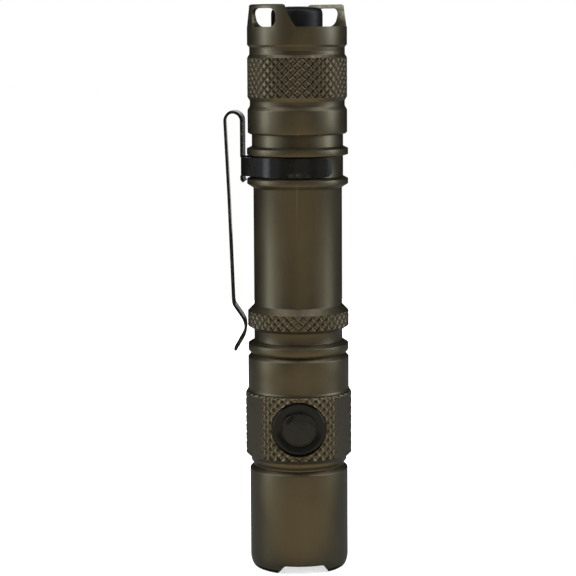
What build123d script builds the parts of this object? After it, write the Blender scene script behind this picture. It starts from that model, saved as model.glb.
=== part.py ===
from build123d import *
import math
import os

# Tactical flashlight with one 18650 cell, a tail switch, a side button and a pocket clip.
# Millimetres. The light stands on its bezel: the origin is on the beam axis, in the plane of the
# three crown tips, and +Z runs to the tail. The side button faces -Y and the clip hangs at -X.
# Angles round the body are measured from the front (-Y), positive towards +X.
# Threads are plain cylinders: a male one at its crest radius, a female one 0.05 mm outside it.

os.makedirs("parts", exist_ok=True)

# Driving dimensions
BARREL_R = 12.7        # one inch bezel and tail cap
TUBE_R = 11.34         # battery tube between its ribs
HEAD_R = 13.0          # head above the button section
BUTTON_SECTION_R = 13.72
RIB_R = 12.93          # three raised ribs on the tube
KNURL_RING_R = 13.0
NECK_R = 11.66
CELL_R = 9.3           # protected 18650 with its wrap
CELL_LENGTH = 69.0
BORE_R = 9.6           # battery bore
THREAD_R = 11.05       # both tube threads, at the crest
THREAD_CLEARANCE = 0.05
STRIP_THICKNESS = 0.7  # spring steel of the pocket clip
STRIP_WIDTH = 7.0

# Stations along the axis
BEZEL_TOP_Z = 26.8
HEAD_TOP_Z = 56.2
SKIRT_Z = 112.6        # open edge of the tail cap
TUBE_FRONT_Z = 47.7
TUBE_REAR_Z = 121.0
TAIL_FLOOR_Z = 139.6   # floor of the thumb gaps
TAIL_TOP_Z = 145.2     # top of the two lugs

# Optics
LIP_R = 10.35
OPTIC_BORE_R = 11.3
LIP_TOP_Z = 2.9
LENS_Z = 3.8
LENS_THICKNESS = 1.6
REFLECTOR_Z = LENS_Z + LENS_THICKNESS
REFLECTOR_TOP_Z = 20.6
LED_BOARD_Z = 21.6
SHELF_Z = 23.2         # bulkhead that carries the light engine
CAVITY_Z = 27.2        # electronics cavity behind it
DRIVER_Z = 44.8
DRIVER_THICKNESS = 1.2
CAVITY_R = 9.3
DRIVER_BORE_R = 10.0
BOARD_SCREW_R = 7.0
WIRE_R = 7.6           # distance of the two LED wires from the axis
WIRE_HOLE_R = 0.9
SEAL_GROOVE_R = 10.55  # floor of the O-ring grooves at the bezel and the tail

# Side button, which faces -Y
BUTTON_Z = 38.2
POCKET_R = 7.1
POCKET_Y = -10.9
FLAT_Y = -7.6          # flat inner wall that carries the switch board
RING_FACE_Y = -12.6
BUTTON_RING_R = 6.75
BUTTON_HOLE_R = 4.75
GASKET = 0.3
PLUNGER_Y = -9.8       # where the button's stem meets the switch

# Tail switch stack, upwards from the open end of the tail cap
CAP_BORE_R = 10.3
TAIL_RING_Z = 121.1
TAIL_BOARD_Z = 123.4
HOLDER_Z = 124.6
WASHER_Z = 134.4
BOOT_Z = 135.4
BOOT_FLANGE_TOP_Z = 136.6
BOOT_R = 6.55
BOOT_TOP_Z = 144.7
PLUNGER_R = 1.9

# Battery
CELL_Z = 49.9

# Pocket clip
CLIP_TURN = -4.5       # the clip sits turned a little towards the back
CLIP_GROOVE_R = 11.65
CLIP_RING_R = 12.1     # middle of the C ring's strip
CLIP_RING_Z = (102.05, 106.8)

LUG_ANGLE = -42.5
SLOT_ANGLE = -43.8     # the slots lie a little to one side of the lugs' middles
NOTCH_ANGLE = 5.5

# Milled side panels of the button section, two on each side
PANEL_ANGLE = 63.6
PANEL_R = 12.78        # distance of each panel from the axis
PANEL_Z = (28.6, 45.5)


def heading(angle, radius=1.0):
    """Point at an angle from the front, at a radius."""
    turn = math.radians(angle)
    return (radius * math.sin(turn), -radius * math.cos(turn))


def lathe(*outline):
    """Turned solid from a closed outline of (radius, z)."""
    path = Polyline(*[(r, 0, z) for r, z in outline], close=True)
    return revolve(make_face(path), Axis.Z)


def disc(radius, z0, z1):
    return Pos(0, 0, (z0 + z1) / 2) * Cylinder(radius, z1 - z0)


def ring(outer, inner, z0, z1):
    return disc(outer, z0, z1) - disc(inner, z0, z1)


def block(x, y, z):
    """Box from three (low, high) pairs."""
    size = [b - a for a, b in (x, y, z)]
    middle = [(a + b) / 2 for a, b in (x, y, z)]
    return Pos(*middle) * Box(*size)


def front_disc(radius, y0, y1, z=BUTTON_Z, x=0.0):
    """Cylinder along Y."""
    return Pos(x, (y0 + y1) / 2, z) * Rot(90, 0, 0) * Cylinder(radius, y1 - y0)


def o_ring(middle_r, section_r, z):
    return Pos(0, 0, z) * Torus(middle_r, section_r)


def radial_plane(angle, radius, z):
    """Plane that faces outwards at an angle: its x runs round the body and its y up it."""
    x, y = heading(angle, radius)
    return Plane(origin=(x, y, z), x_dir=(*heading(angle + 90), 0), z_dir=(*heading(angle), 0))


def coil(middle_r, wire_r, z0, z1, pitch, top_r=None):
    """Compression spring, cylindrical or tapered."""
    top_r = middle_r if top_r is None else top_r
    height = z1 - z0 - 2 * wire_r
    taper = math.degrees(math.atan((top_r - middle_r) / height))
    path = Pos(0, 0, z0 + wire_r) * Helix(pitch, height, middle_r, cone_angle=taper)
    section = Plane(origin=path @ 0, z_dir=path % 0) * Circle(wire_r)
    return sweep(section, path=path, is_frenet=True)


def save(shape, name):
    solids = shape.solids()
    export_step(solids[0] if len(solids) == 1 else Compound(children=list(solids)), f"parts/{name}.step")


# Bezel and optics

def bezel():
    nose_r = 11.3
    nose_z = 3.2
    chamfer = 0.85
    outline = [
        Line((LIP_R, 0, 0), (nose_r, 0, 0)),
        TangentArc((BARREL_R, 0, nose_z), (nose_r, 0, 0), tangent=(0, 0, -1)),
        Polyline(
            (BARREL_R, 0, nose_z),
            (BARREL_R, 0, BEZEL_TOP_Z - chamfer),
            (BARREL_R - chamfer, 0, BEZEL_TOP_Z),
            (OPTIC_BORE_R, 0, BEZEL_TOP_Z),
            (OPTIC_BORE_R, 0, LIP_TOP_Z),
            (LIP_R, 0, LIP_TOP_Z),
            (LIP_R, 0, 0),
        ),
    ]
    body = revolve(make_face(outline), Axis.Z)
    depth = 2.35
    tip_half = 6.7
    root_half = 5.0
    slope = (tip_half - root_half) / depth
    below = 1.0
    for turn in (0, 120, 240):
        shape = make_face(Polyline(
            (-root_half, depth),
            (root_half, depth),
            (tip_half + slope * below, -below),
            (-tip_half - slope * below, -below),
            close=True,
        ))
        roots = shape.vertices().group_by(Axis.Y)[-1]
        shape = fillet(roots, 0.9)
        body -= extrude(radial_plane(NOTCH_ANGLE + turn, 6, 0) * shape, 12)
    return body


def bezel_o_ring():
    return o_ring(SEAL_GROOVE_R + 0.37, 0.36, 25.55)


def lens_o_ring():
    return o_ring(10.8, 0.45, (LIP_TOP_Z + LENS_Z) / 2)


def lens():
    edge = 0.2
    glass_r = OPTIC_BORE_R - 0.1
    top = LENS_Z + LENS_THICKNESS
    return lathe(
        (0, LENS_Z), (glass_r - edge, LENS_Z), (glass_r, LENS_Z + edge),
        (glass_r, top - edge), (glass_r - edge, top), (0, top),
    )


def reflector():
    """Parabolic cup: the mirror follows z = apex - r^2 / (4 f)."""
    mouth_r = 10.2
    throat_r = 3.6
    wall = 0.9
    flange_r = OPTIC_BORE_R - 0.15
    flange = 1.1
    four_f = (mouth_r**2 - throat_r**2) / (REFLECTOR_TOP_Z - REFLECTOR_Z)
    apex = REFLECTOR_TOP_Z + throat_r**2 / four_f

    def curve(grow, start_r, end_r):
        def height(r):
            return apex - (r - grow) ** 2 / four_f
        control_z = apex - (start_r - grow) * (end_r - grow) / four_f
        return Bezier(
            (start_r, 0, height(start_r)),
            ((start_r + end_r) / 2, 0, control_z),
            (end_r, 0, height(end_r)),
        )

    back_r = math.sqrt(four_f * (apex - REFLECTOR_Z - flange)) + wall
    outline = [
        curve(0, mouth_r, throat_r),
        Line((throat_r, 0, REFLECTOR_TOP_Z), (throat_r + wall, 0, REFLECTOR_TOP_Z)),
        curve(wall, throat_r + wall, back_r),
        Polyline(
            (back_r, 0, REFLECTOR_Z + flange),
            (flange_r, 0, REFLECTOR_Z + flange),
            (flange_r, 0, REFLECTOR_Z),
            (mouth_r, 0, REFLECTOR_Z),
        ),
    ]
    return revolve(make_face(outline), Axis.Z)


def led_gasket():
    flange = ring(4.6, 2.6, REFLECTOR_TOP_Z, LED_BOARD_Z)
    collar = ring(3.5, 2.6, REFLECTOR_TOP_Z - 0.8, REFLECTOR_TOP_Z)
    return flange + collar


def led_emitter():
    package = block((-1.75, 1.75), (-1.75, 1.75), (LED_BOARD_Z - 0.7, LED_BOARD_Z))
    dome = Pos(0, 0, LED_BOARD_Z - 0.7) * Sphere(1.4)
    above = disc(2, LED_BOARD_Z - 0.7, LED_BOARD_Z + 1)
    return package + (dome - above)


def wire_places():
    return [(-WIRE_R, 0), (WIRE_R, 0)]


def screw_places():
    return [(0, -BOARD_SCREW_R), (0, BOARD_SCREW_R)]


def led_board():
    board = disc(10.0, LED_BOARD_Z, SHELF_Z)
    for x, y in wire_places():
        board -= Pos(x, y, LED_BOARD_Z) * Cylinder(WIRE_HOLE_R, 6)
    for x, y in screw_places():
        board -= Pos(x, y, LED_BOARD_Z) * Cylinder(1.1, 6)
    return board


def led_board_screws():
    screws = []
    for x, y in screw_places():
        head = Pos(x, y, LED_BOARD_Z - 0.6) * Cylinder(1.8, 1.2)
        slot = Pos(x, y, LED_BOARD_Z - 1.2) * Box(3.0, 0.5, 1.0)
        shank_top = CAVITY_Z - 1.2
        shank = Pos(x, y, (LED_BOARD_Z + shank_top) / 2) * Cylinder(1.0, shank_top - LED_BOARD_Z)
        screws.append(head + shank - slot)
    return Compound(children=screws)


def led_wire(side):
    """Straight lead from the driver board to its solder blob on the light engine."""
    pad_z = LED_BOARD_Z - 0.5
    length = DRIVER_Z - pad_z
    return Pos(side * WIRE_R, 0, pad_z + length / 2) * Cylinder(0.55, length)


# Head

def head_body():
    spigot_r = OPTIC_BORE_R - THREAD_CLEARANCE
    seat_r = 11.65
    seal_bore_r = 11.36
    pilot_r = 1.0
    window_r = 3.3
    side_pilot_r = 0.7
    body = lathe(
        (0, 16.0), (spigot_r - 0.5, 16.0), (spigot_r, 16.5), (spigot_r, 24.9),
        (SEAL_GROOVE_R, 24.9), (SEAL_GROOVE_R, 26.2), (spigot_r, 26.2), (spigot_r, BEZEL_TOP_Z),
        (seat_r, BEZEL_TOP_Z), (seat_r, 27.3), (12.4, 28.2), (12.4, 29.0),
        (BUTTON_SECTION_R, 30.1), (BUTTON_SECTION_R, 45.83), (HEAD_R, 46.75),
        (HEAD_R, 55.2), (12.1, HEAD_TOP_Z), (0, HEAD_TOP_Z),
    )
    body -= disc(10.3, 15, SHELF_Z)
    body -= disc(CAVITY_R, CAVITY_Z, DRIVER_Z + 1) - block((-12, 12), (-14, FLAT_Y), (20, 60))
    body -= disc(DRIVER_BORE_R, DRIVER_Z, 47)
    body -= disc(THREAD_R + THREAD_CLEARANCE, DRIVER_Z + DRIVER_THICKNESS, 57)
    body -= disc(seal_bore_r, 53.5, 57)
    for x, y in wire_places():
        body -= Pos(x, y, SHELF_Z) * Cylinder(WIRE_HOLE_R, 12)
    for x, y in screw_places():
        body -= Pos(x, y, SHELF_Z) * Cylinder(pilot_r, 2 * (CAVITY_Z - 1.0 - SHELF_Z))
    body -= front_disc(POCKET_R, -16, POCKET_Y)
    body -= front_disc(window_r, -12, FLAT_Y + 1)
    for x, z in side_screw_places():
        body -= front_disc(side_pilot_r, -9.6, FLAT_Y + 0.5, z, x)
    return body - side_panels()


def side_panels():
    """Four flat cuts that leave the knurled front and back of the button section round."""
    width = 12
    depth = 2
    height = PANEL_Z[1] - PANEL_Z[0]
    middle = sum(PANEL_Z) / 2
    cuts = []
    for angle in (PANEL_ANGLE, 180 - PANEL_ANGLE, 180 + PANEL_ANGLE, -PANEL_ANGLE):
        face = radial_plane(angle, PANEL_R, middle) * Rectangle(width, height)
        cuts.append(extrude(face, depth))
    return Compound(children=cuts)


def side_screw_places():
    offset = 4.4
    return [(0, BUTTON_Z - offset), (0, BUTTON_Z + offset)]


def side_button_ring():
    """Retaining ring: a bevelled collar whose lip holds the button's flange."""
    back_y = POCKET_Y - GASKET
    lip_y = RING_FACE_Y + 0.5
    collar = front_disc(BUTTON_RING_R, RING_FACE_Y, back_y)
    collar = chamfer(collar.edges().group_by(Axis.Y)[0], 0.25)
    collar -= front_disc(BUTTON_HOLE_R, -14, -9)
    collar -= front_disc(5.4, lip_y, -9)
    slope = 0.45
    bevel = Cone(BUTTON_HOLE_R, 6.0, slope)
    return collar - Pos(0, RING_FACE_Y + slope / 2, BUTTON_Z) * Rot(90, 0, 0) * bevel


def side_button_gasket():
    return front_disc(BUTTON_RING_R, POCKET_Y - GASKET, POCKET_Y) - front_disc(5.4, -12, -8)


def side_button_cap():
    """Shallow dome over a flange, with a stem that reaches the switch."""
    radius = BUTTON_HOLE_R - 0.5
    rim_y = -12.75
    rise = 0.3
    dome_r = (radius**2 + rise**2) / (2 * rise)
    dome = Pos(0, rim_y - rise + dome_r, BUTTON_Z) * Sphere(dome_r)
    crown = dome & front_disc(radius, rim_y - 1, rim_y)
    face = front_disc(radius, rim_y, -11.85)
    flange = front_disc(5.1, -11.85, -11.5)
    stem = front_disc(1.6, -11.5, PLUNGER_Y)
    return crown + face + flange + stem


def side_switch_plunger():
    return front_disc(0.9, PLUNGER_Y, PLUNGER_Y + 1.3)


def side_switch():
    half = 2.25
    body = block((-half, half), (PLUNGER_Y + 0.7, FLAT_Y), (BUTTON_Z - half, BUTTON_Z + half))
    return body - front_disc(1.05, -10, FLAT_Y - 0.3)


def side_switch_board():
    board = block((-5, 5), (FLAT_Y, FLAT_Y + 1.0), (BUTTON_Z - 5.6, BUTTON_Z + 5.6))
    for x, z in side_screw_places():
        board -= front_disc(0.8, FLAT_Y - 1, FLAT_Y + 2, z, x)
    return board


def side_board_screws():
    screws = []
    for x, z in side_screw_places():
        head = front_disc(1.1, FLAT_Y + 1.0, FLAT_Y + 1.8, z, x)
        shank = front_disc(0.7, -9.4, FLAT_Y + 1.0, z, x)
        slot = block((x - 1.5, x + 1.5), (FLAT_Y + 1.5, FLAT_Y + 2), (z - 0.2, z + 0.2))
        screws.append(head + shank - slot)
    return Compound(children=screws)


def driver_board():
    return disc(DRIVER_BORE_R - 0.1, DRIVER_Z, DRIVER_Z + DRIVER_THICKNESS)


def driver_components():
    """Inductor, controller and two capacitors on the side that faces the lamp."""
    inductor = fillet(block((-3, 3), (0.5, 6.5), (DRIVER_Z - 3, DRIVER_Z)).edges().filter_by(Axis.Z), 1.0)
    controller = block((-2.5, 2.5), (-4.0, -0.5), (DRIVER_Z - 1.2, DRIVER_Z))
    parts = [inductor, controller]
    for x in (-5.2, 5.2):
        parts.append(block((x - 0.8, x + 0.8), (2.0, 4.6), (DRIVER_Z - 1.5, DRIVER_Z)))
    return Compound(children=parts)


def driver_ring():
    foot = DRIVER_Z + DRIVER_THICKNESS
    top = foot + 1.4
    body = ring(THREAD_R, 8.6, foot, top)
    for side in (-1, 1):
        body -= Pos(side * 10, 0, top) * Box(4, 1.6, 1.6)
    return body


def driver_spring():
    return coil(3.4, 0.3, DRIVER_Z + DRIVER_THICKNESS, CELL_Z, 1.1)


# Battery tube

def battery_tube():
    """Outline from the front thread over the ribs to the rear thread, closed along the bore."""
    groove_r = 10.15
    return lathe(
        (BORE_R, TUBE_FRONT_Z), (THREAD_R - 0.5, TUBE_FRONT_Z), (THREAD_R, TUBE_FRONT_Z + 0.5),
        (THREAD_R, 53.6), (groove_r, 53.6), (groove_r, 55.0), (11.3, 55.0), (11.3, HEAD_TOP_Z),
        (12.24, HEAD_TOP_Z), (RIB_R, 57.0), (RIB_R, 58.7), (11.4, 59.6), (11.4, 62.4),
        (KNURL_RING_R, 63.4), (KNURL_RING_R, 67.1), (TUBE_R, 68.8), (TUBE_R, 98.9),
        (RIB_R, 99.9), (RIB_R, 101.2), (CLIP_GROOVE_R, 101.85), (CLIP_GROOVE_R, 107.0),
        (RIB_R, 107.35), (RIB_R, 108.9), (NECK_R, 109.5), (NECK_R, 113.3),
        (SEAL_GROOVE_R, 113.3), (SEAL_GROOVE_R, 114.7), (NECK_R, 114.7), (NECK_R, 115.2), (THREAD_R, 115.2),
        (THREAD_R, TUBE_REAR_Z - 0.5), (THREAD_R - 0.5, TUBE_REAR_Z), (BORE_R, TUBE_REAR_Z),
    )


def tube_front_o_ring():
    return o_ring(10.72, 0.56, 54.3)


def tube_rear_o_ring():
    return o_ring(SEAL_GROOVE_R + 0.59, 0.56, 114.0)


def battery_can():
    wall = 0.25
    outer = 9.15
    return lathe(
        (outer - wall, 51.0), (outer, 51.0), (outer, 118.8), (0, 118.8),
        (0, 118.5), (outer - wall, 118.5),
    )


def battery_core():
    return ring(8.85, 2.0, 53.0, 118.45)


def battery_gasket():
    return ring(8.88, 7.9, 51.1, 52.9)


def battery_cap():
    return disc(7.9, 51.4, 52.4) + disc(2.9, CELL_Z, 51.4)


def battery_wrap():
    """Heat-shrink sleeve with a lip over each end."""
    return lathe(
        (6.6, 50.75), (CELL_R, 50.75), (CELL_R, 118.9), (7.0, 118.9), (7.0, 118.8),
        (9.17, 118.8), (9.17, 50.95), (6.6, 50.95),
    )


def battery_insulator():
    return ring(6.4, 3.1, 50.95, 51.35)


# Pocket clip

def clip_arm():
    """Spring strip: up from the C ring, over the bend, down to the contact and out at the tip."""
    path = FilletPolyline(
        (-13.55, 0, 100.4),
        (-14.05, 0, 101.1),
        (-14.05, 0, 118.15),
        (-18.65, 0, 118.15),
        (-17.65, 0, 96.0),
        (-16.72, 0, 69.05),
        (-12.69, 0, 63.2),
        (-16.4, 0, 56.8),
        radius=[0.4, 2.25, 2.2, 60, 2.5, 4.95],
    )
    section = Plane(origin=path @ 0, x_dir=(0, 1, 0), z_dir=path % 0)
    return sweep(section * Rectangle(STRIP_WIDTH, STRIP_THICKNESS), path=path)


def clip_half_ring(side):
    """One half of the C ring, from the strip's edge to its free end."""
    plate_x = -14.05
    corner_y = 3.7
    reach = math.hypot(plate_x, corner_y)
    turn = math.atan2(corner_y, -plate_x) + math.acos(CLIP_RING_R / reach)
    end = math.radians(138)
    middle = (turn + end) / 2
    middle_z = sum(CLIP_RING_Z) / 2

    def on_ring(angle):
        return (-CLIP_RING_R * math.cos(angle), side * CLIP_RING_R * math.sin(angle), middle_z)

    lead = FilletPolyline(
        (plate_x, side * 1.0, middle_z),
        (plate_x, side * corner_y, middle_z),
        on_ring(turn),
        radius=2.0,
    )
    hoop = ThreePointArc(on_ring(turn), on_ring(middle), on_ring(end))
    path = Wire(list(lead.edges()) + [hoop.edge()])
    height = CLIP_RING_Z[1] - CLIP_RING_Z[0]
    section = Plane(origin=path @ 0, x_dir=(1, 0, 0), z_dir=path % 0)
    return sweep(section * Rectangle(STRIP_THICKNESS, height), path=path)


def pocket_clip():
    whole = clip_arm() + clip_half_ring(-1) + clip_half_ring(1)
    return Rot(0, 0, CLIP_TURN) * whole


# Tail cap

def tail_cap():
    thread_bore_r = THREAD_R + THREAD_CLEARANCE
    body = lathe(
        (11.76, SKIRT_Z), (12.3, SKIRT_Z), (BARREL_R, 113.0), (BARREL_R, 118.7),
        (12.1, 119.7), (12.1, 121.0), (BARREL_R, 122.0), (BARREL_R, 131.85), (12.15, 132.7),
        (12.15, 134.5), (BARREL_R, 135.1), (BARREL_R, TAIL_TOP_Z - 0.3),
        (BARREL_R - 0.3, TAIL_TOP_Z), (8.9, TAIL_TOP_Z), (8.9, TAIL_FLOOR_Z),
        (BOOT_R + 0.15, TAIL_FLOOR_Z), (BOOT_R + 0.15, BOOT_FLANGE_TOP_Z),
        (CAP_BORE_R, BOOT_FLANGE_TOP_Z), (CAP_BORE_R, TAIL_BOARD_Z),
        (thread_bore_r, TAIL_BOARD_Z), (thread_bore_r, 115.4), (11.76, 115.4),
    )
    return body - thumb_gaps() - lanyard_slots()


def thumb_gaps():
    """One cut right across the tail leaves the two lugs, with hollow ends."""
    top = TAIL_TOP_Z + 2
    half = 11.15
    foot = 9.6
    outline = [
        Line((-foot, TAIL_FLOOR_Z), (foot, TAIL_FLOOR_Z)),
        ThreePointArc((foot, TAIL_FLOOR_Z), (10.55, 142.0), (half, TAIL_TOP_Z)),
        Polyline((half, TAIL_TOP_Z), (half, top), (-half, top), (-half, TAIL_TOP_Z)),
        ThreePointArc((-half, TAIL_TOP_Z), (-10.55, 142.0), (-foot, TAIL_FLOOR_Z)),
    ]
    return extrude(radial_plane(LUG_ANGLE + 90, -16, 0) * make_face(outline), 32)


def lanyard_slots():
    width = 8.1
    height = 4.6
    corner = 1.7
    shape = RectangleRounded(width, height, corner)
    return extrude(radial_plane(SLOT_ANGLE, -16, TAIL_FLOOR_Z + height / 2) * shape, 32)


def tail_boot():
    """Rubber boot with a flange under the floor and a nub that reaches the switch."""
    flange_r = 9.6
    inner_r = 5.3
    wall_top = 1.2
    shoulder = 1.5
    sides = Polyline(
        (inner_r, 0, BOOT_Z), (flange_r, 0, BOOT_Z), (flange_r, 0, BOOT_FLANGE_TOP_Z),
        (BOOT_R, 0, BOOT_FLANGE_TOP_Z), (BOOT_R, 0, BOOT_TOP_Z - shoulder),
    )
    edge = (BOOT_R - 1.2, 0, BOOT_TOP_Z - 0.25)
    crown = TangentArc((BOOT_R, 0, BOOT_TOP_Z - shoulder), edge, tangent=(0, 0, 1))
    top = Bezier(edge, (2.7, 0, BOOT_TOP_Z), (0, 0, BOOT_TOP_Z))
    inside = Polyline(
        (0, 0, BOOT_TOP_Z), (0, 0, WASHER_Z + 0.7), (2.4, 0, WASHER_Z + 0.7),
        (2.4, 0, BOOT_TOP_Z - wall_top), (inner_r, 0, BOOT_TOP_Z - wall_top - 0.4),
        (inner_r, 0, BOOT_Z),
    )
    return revolve(make_face([sides, crown, top, inside]), Axis.Z)


def boot_washer():
    return ring(CAP_BORE_R - 0.05, 3.6, WASHER_Z, BOOT_Z)


def tail_switch_holder():
    return ring(CAP_BORE_R - 0.1, 8.35, HOLDER_Z, WASHER_Z)


def tail_switch_body():
    half = 5.75
    body = block((-half, half), (-half, half), (HOLDER_Z, 131.6))
    body = chamfer(body.edges().filter_by(Axis.Z), 0.4)
    body += disc(3.2, 131.6, 132.6)
    return body - disc(PLUNGER_R + 0.12, 128.4, 133)


def tail_switch_plunger():
    return disc(PLUNGER_R, 130.6, WASHER_Z + 0.6)


def tail_board():
    return disc(CAP_BORE_R - 0.1, TAIL_BOARD_Z, HOLDER_Z)


def tail_ring():
    body = ring(THREAD_R, 7.6, TAIL_RING_Z, TAIL_BOARD_Z)
    for side in (-1, 1):
        body -= Pos(side * 9.5, 0, TAIL_RING_Z) * Box(4, 1.6, 2.0)
    return body


def tail_spring():
    return coil(3.6, 0.35, CELL_Z + CELL_LENGTH, TAIL_BOARD_Z, 1.3, top_r=5.2)


MODEL = {
    "bezel": bezel(),
    "bezel_o_ring": bezel_o_ring(),
    "lens": lens(),
    "lens_o_ring": lens_o_ring(),
    "reflector": reflector(),
    "led_gasket": led_gasket(),
    "led_emitter": led_emitter(),
    "led_board": led_board(),
    "led_board_screws": led_board_screws(),
    "led_wire_positive": led_wire(1),
    "led_wire_negative": led_wire(-1),
    "head_body": head_body(),
    "side_button_ring": side_button_ring(),
    "side_button_gasket": side_button_gasket(),
    "side_button_cap": side_button_cap(),
    "side_switch_plunger": side_switch_plunger(),
    "side_switch": side_switch(),
    "side_switch_board": side_switch_board(),
    "side_board_screws": side_board_screws(),
    "driver_board": driver_board(),
    "driver_components": driver_components(),
    "driver_ring": driver_ring(),
    "driver_spring": driver_spring(),
    "battery_tube": battery_tube(),
    "tube_front_o_ring": tube_front_o_ring(),
    "tube_rear_o_ring": tube_rear_o_ring(),
    "battery_can": battery_can(),
    "battery_core": battery_core(),
    "battery_gasket": battery_gasket(),
    "battery_cap": battery_cap(),
    "battery_wrap": battery_wrap(),
    "battery_insulator": battery_insulator(),
    "pocket_clip": pocket_clip(),
    "tail_cap": tail_cap(),
    "tail_boot": tail_boot(),
    "boot_washer": boot_washer(),
    "tail_switch_holder": tail_switch_holder(),
    "tail_switch_body": tail_switch_body(),
    "tail_switch_plunger": tail_switch_plunger(),
    "tail_board": tail_board(),
    "tail_ring": tail_ring(),
    "tail_spring": tail_spring(),
}

for name, shape in MODEL.items():
    save(shape, name)
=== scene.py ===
import math

import bmesh
import bpy
from mathutils import Matrix, Vector


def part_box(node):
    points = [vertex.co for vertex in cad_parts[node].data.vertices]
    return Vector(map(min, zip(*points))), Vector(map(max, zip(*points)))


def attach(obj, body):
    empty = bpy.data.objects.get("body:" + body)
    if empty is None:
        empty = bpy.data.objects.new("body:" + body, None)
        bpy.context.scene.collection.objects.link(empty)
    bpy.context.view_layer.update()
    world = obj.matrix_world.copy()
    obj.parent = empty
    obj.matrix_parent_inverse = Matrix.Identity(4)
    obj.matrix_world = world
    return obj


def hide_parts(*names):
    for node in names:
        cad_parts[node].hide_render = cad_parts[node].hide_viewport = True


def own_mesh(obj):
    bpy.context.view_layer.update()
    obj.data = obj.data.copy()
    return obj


# Tactical flashlight standing on its bezel, tail up, with the side button facing -Y.
# Pieces are made in millimetres and turned into metres when their mesh is finished. The
# floor, lights and camera are in metres. Angles round the body are measured from the
# front (-Y), positive towards +X.

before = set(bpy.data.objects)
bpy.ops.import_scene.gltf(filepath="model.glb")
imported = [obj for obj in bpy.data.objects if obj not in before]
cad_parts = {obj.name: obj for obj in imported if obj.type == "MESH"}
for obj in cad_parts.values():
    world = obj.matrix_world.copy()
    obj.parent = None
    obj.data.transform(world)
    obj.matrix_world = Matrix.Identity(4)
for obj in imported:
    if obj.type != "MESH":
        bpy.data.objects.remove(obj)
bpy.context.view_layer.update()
MM = 0.001


def low(node):
    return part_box(node)[0] / MM


def high(node):
    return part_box(node)[1] / MM


# Driving sizes

STATIONS = 280                    # points round a knurled shell
PERIODS = 35                      # diamonds round it
PER_PERIOD = STATIONS // PERIODS
DIAMOND = 2.28                    # height of one diamond
LARGE_FACE = 12.0                 # a face with a larger area, in mm2, is a plane of its own
AXIS_R = 0.01                     # radius at which a closed outline ends, instead of on its axis
THREAD_PITCH = 1.0
THREAD_DEPTH = 0.55
BARREL_R = high("bezel").x        # one inch barrel
TAIL_TOP = high("tail_cap").z
CROWN_Z = TAIL_TOP - 11.6         # joint between the knurled shell and the crown, in the groove
FLOOR_Z = TAIL_TOP - 5.6          # floor of the thumb gaps
BUTTON_Z = (low("side_button_ring").z + high("side_button_ring").z) / 2
LUG_ANGLE = -42.5                 # middle of the front lug
SLOT_ANGLE = -43.8                # line of the lanyard slots
NOTCH_ANGLE = 5.5                 # middle of the front crown notch
FLAT_ANGLE = 63.6                 # middle of a milled flat
FLAT_R = 12.78                    # its distance from the axis
CLIP_TURN = -4.5                  # turn of the clip's ring about the axis
STRIP_HALF = 3.5                  # half width of the clip's strip
CLIP_RING_R = 12.1
CLIP_RING_END = 138               # where the ring stops, in degrees from the strip
CLIP_PLATE_X = -14.05             # the strip where the ring leaves it
CLIP_BAND = (102.05, 106.8)       # the ring's lower and upper edges


# Mesh helpers

def polar(angle, radius, z):
    """Point at an angle from the front, in radians."""
    return Vector((radius * math.sin(angle), -radius * math.cos(angle), z))


def add_row(bm, radius, z, shift=0.0, count=STATIONS):
    """One ring of vertices. radius is a number or a function of the angle and z."""
    step = 2 * math.pi / count
    points = []
    for k in range(count):
        angle = step * (k + shift)
        r = radius(angle, z) if callable(radius) else radius
        points.append(bm.verts.new(polar(angle, r, z)))
    return points


def join_rows(bm, first, second):
    """Quads between two rings of the same count."""
    for k in range(len(first)):
        bm.faces.new((first[k - 1], first[k], second[k], second[k - 1]))


def turned(bm, outline, start=None, count=STATIONS):
    """Rings through an outline of (radius, z), joined one to the next. Returns the first and last."""
    rows = [start] if start else []
    for radius, z in outline:
        rows.append(add_row(bm, radius, z, 0.0, count))
        if len(rows) > 1:
            join_rows(bm, rows[-2], rows[-1])
    return rows[0], rows[-1]


def eased(points, radius=0.12, steps=2):
    """The outline with each corner of (radius, z) points rounded by a small arc."""
    made = [points[0]]
    for before, corner, after in zip(points, points[1:], points[2:]):
        p, a, b = Vector(corner), Vector(before), Vector(after)
        to_a, to_b = a - p, b - p
        cut = min(radius, to_a.length * 0.4, to_b.length * 0.4)
        start = p + to_a.normalized() * cut
        end = p + to_b.normalized() * cut
        for k in range(steps + 1):
            t = k / steps
            made.append(tuple(start * (1 - t) ** 2 + p * 2 * t * (1 - t) + end * t * t))
    made.append(points[-1])
    return made


def knurl_rows(z0, z1):
    """An even number of half steps between two heights, and the height of one diamond."""
    rows = 2 * round((z1 - z0) * PER_PERIOD / DIAMOND)
    return rows, (z1 - z0) * 2 * PER_PERIOD / rows


def knurl_groove(angle, z, z0, height, half_groove):
    """Crossing V grooves that leave flat diamonds: 1 at a groove's floor, 0 on a diamond."""
    along = PERIODS * angle / (2 * math.pi)
    up = (z - z0) / height
    groove = 0.0
    for phase in (along + up, along - up):
        off = abs(phase - round(phase))
        groove = max(groove, 1 - off / half_groove)
    return groove


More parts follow.
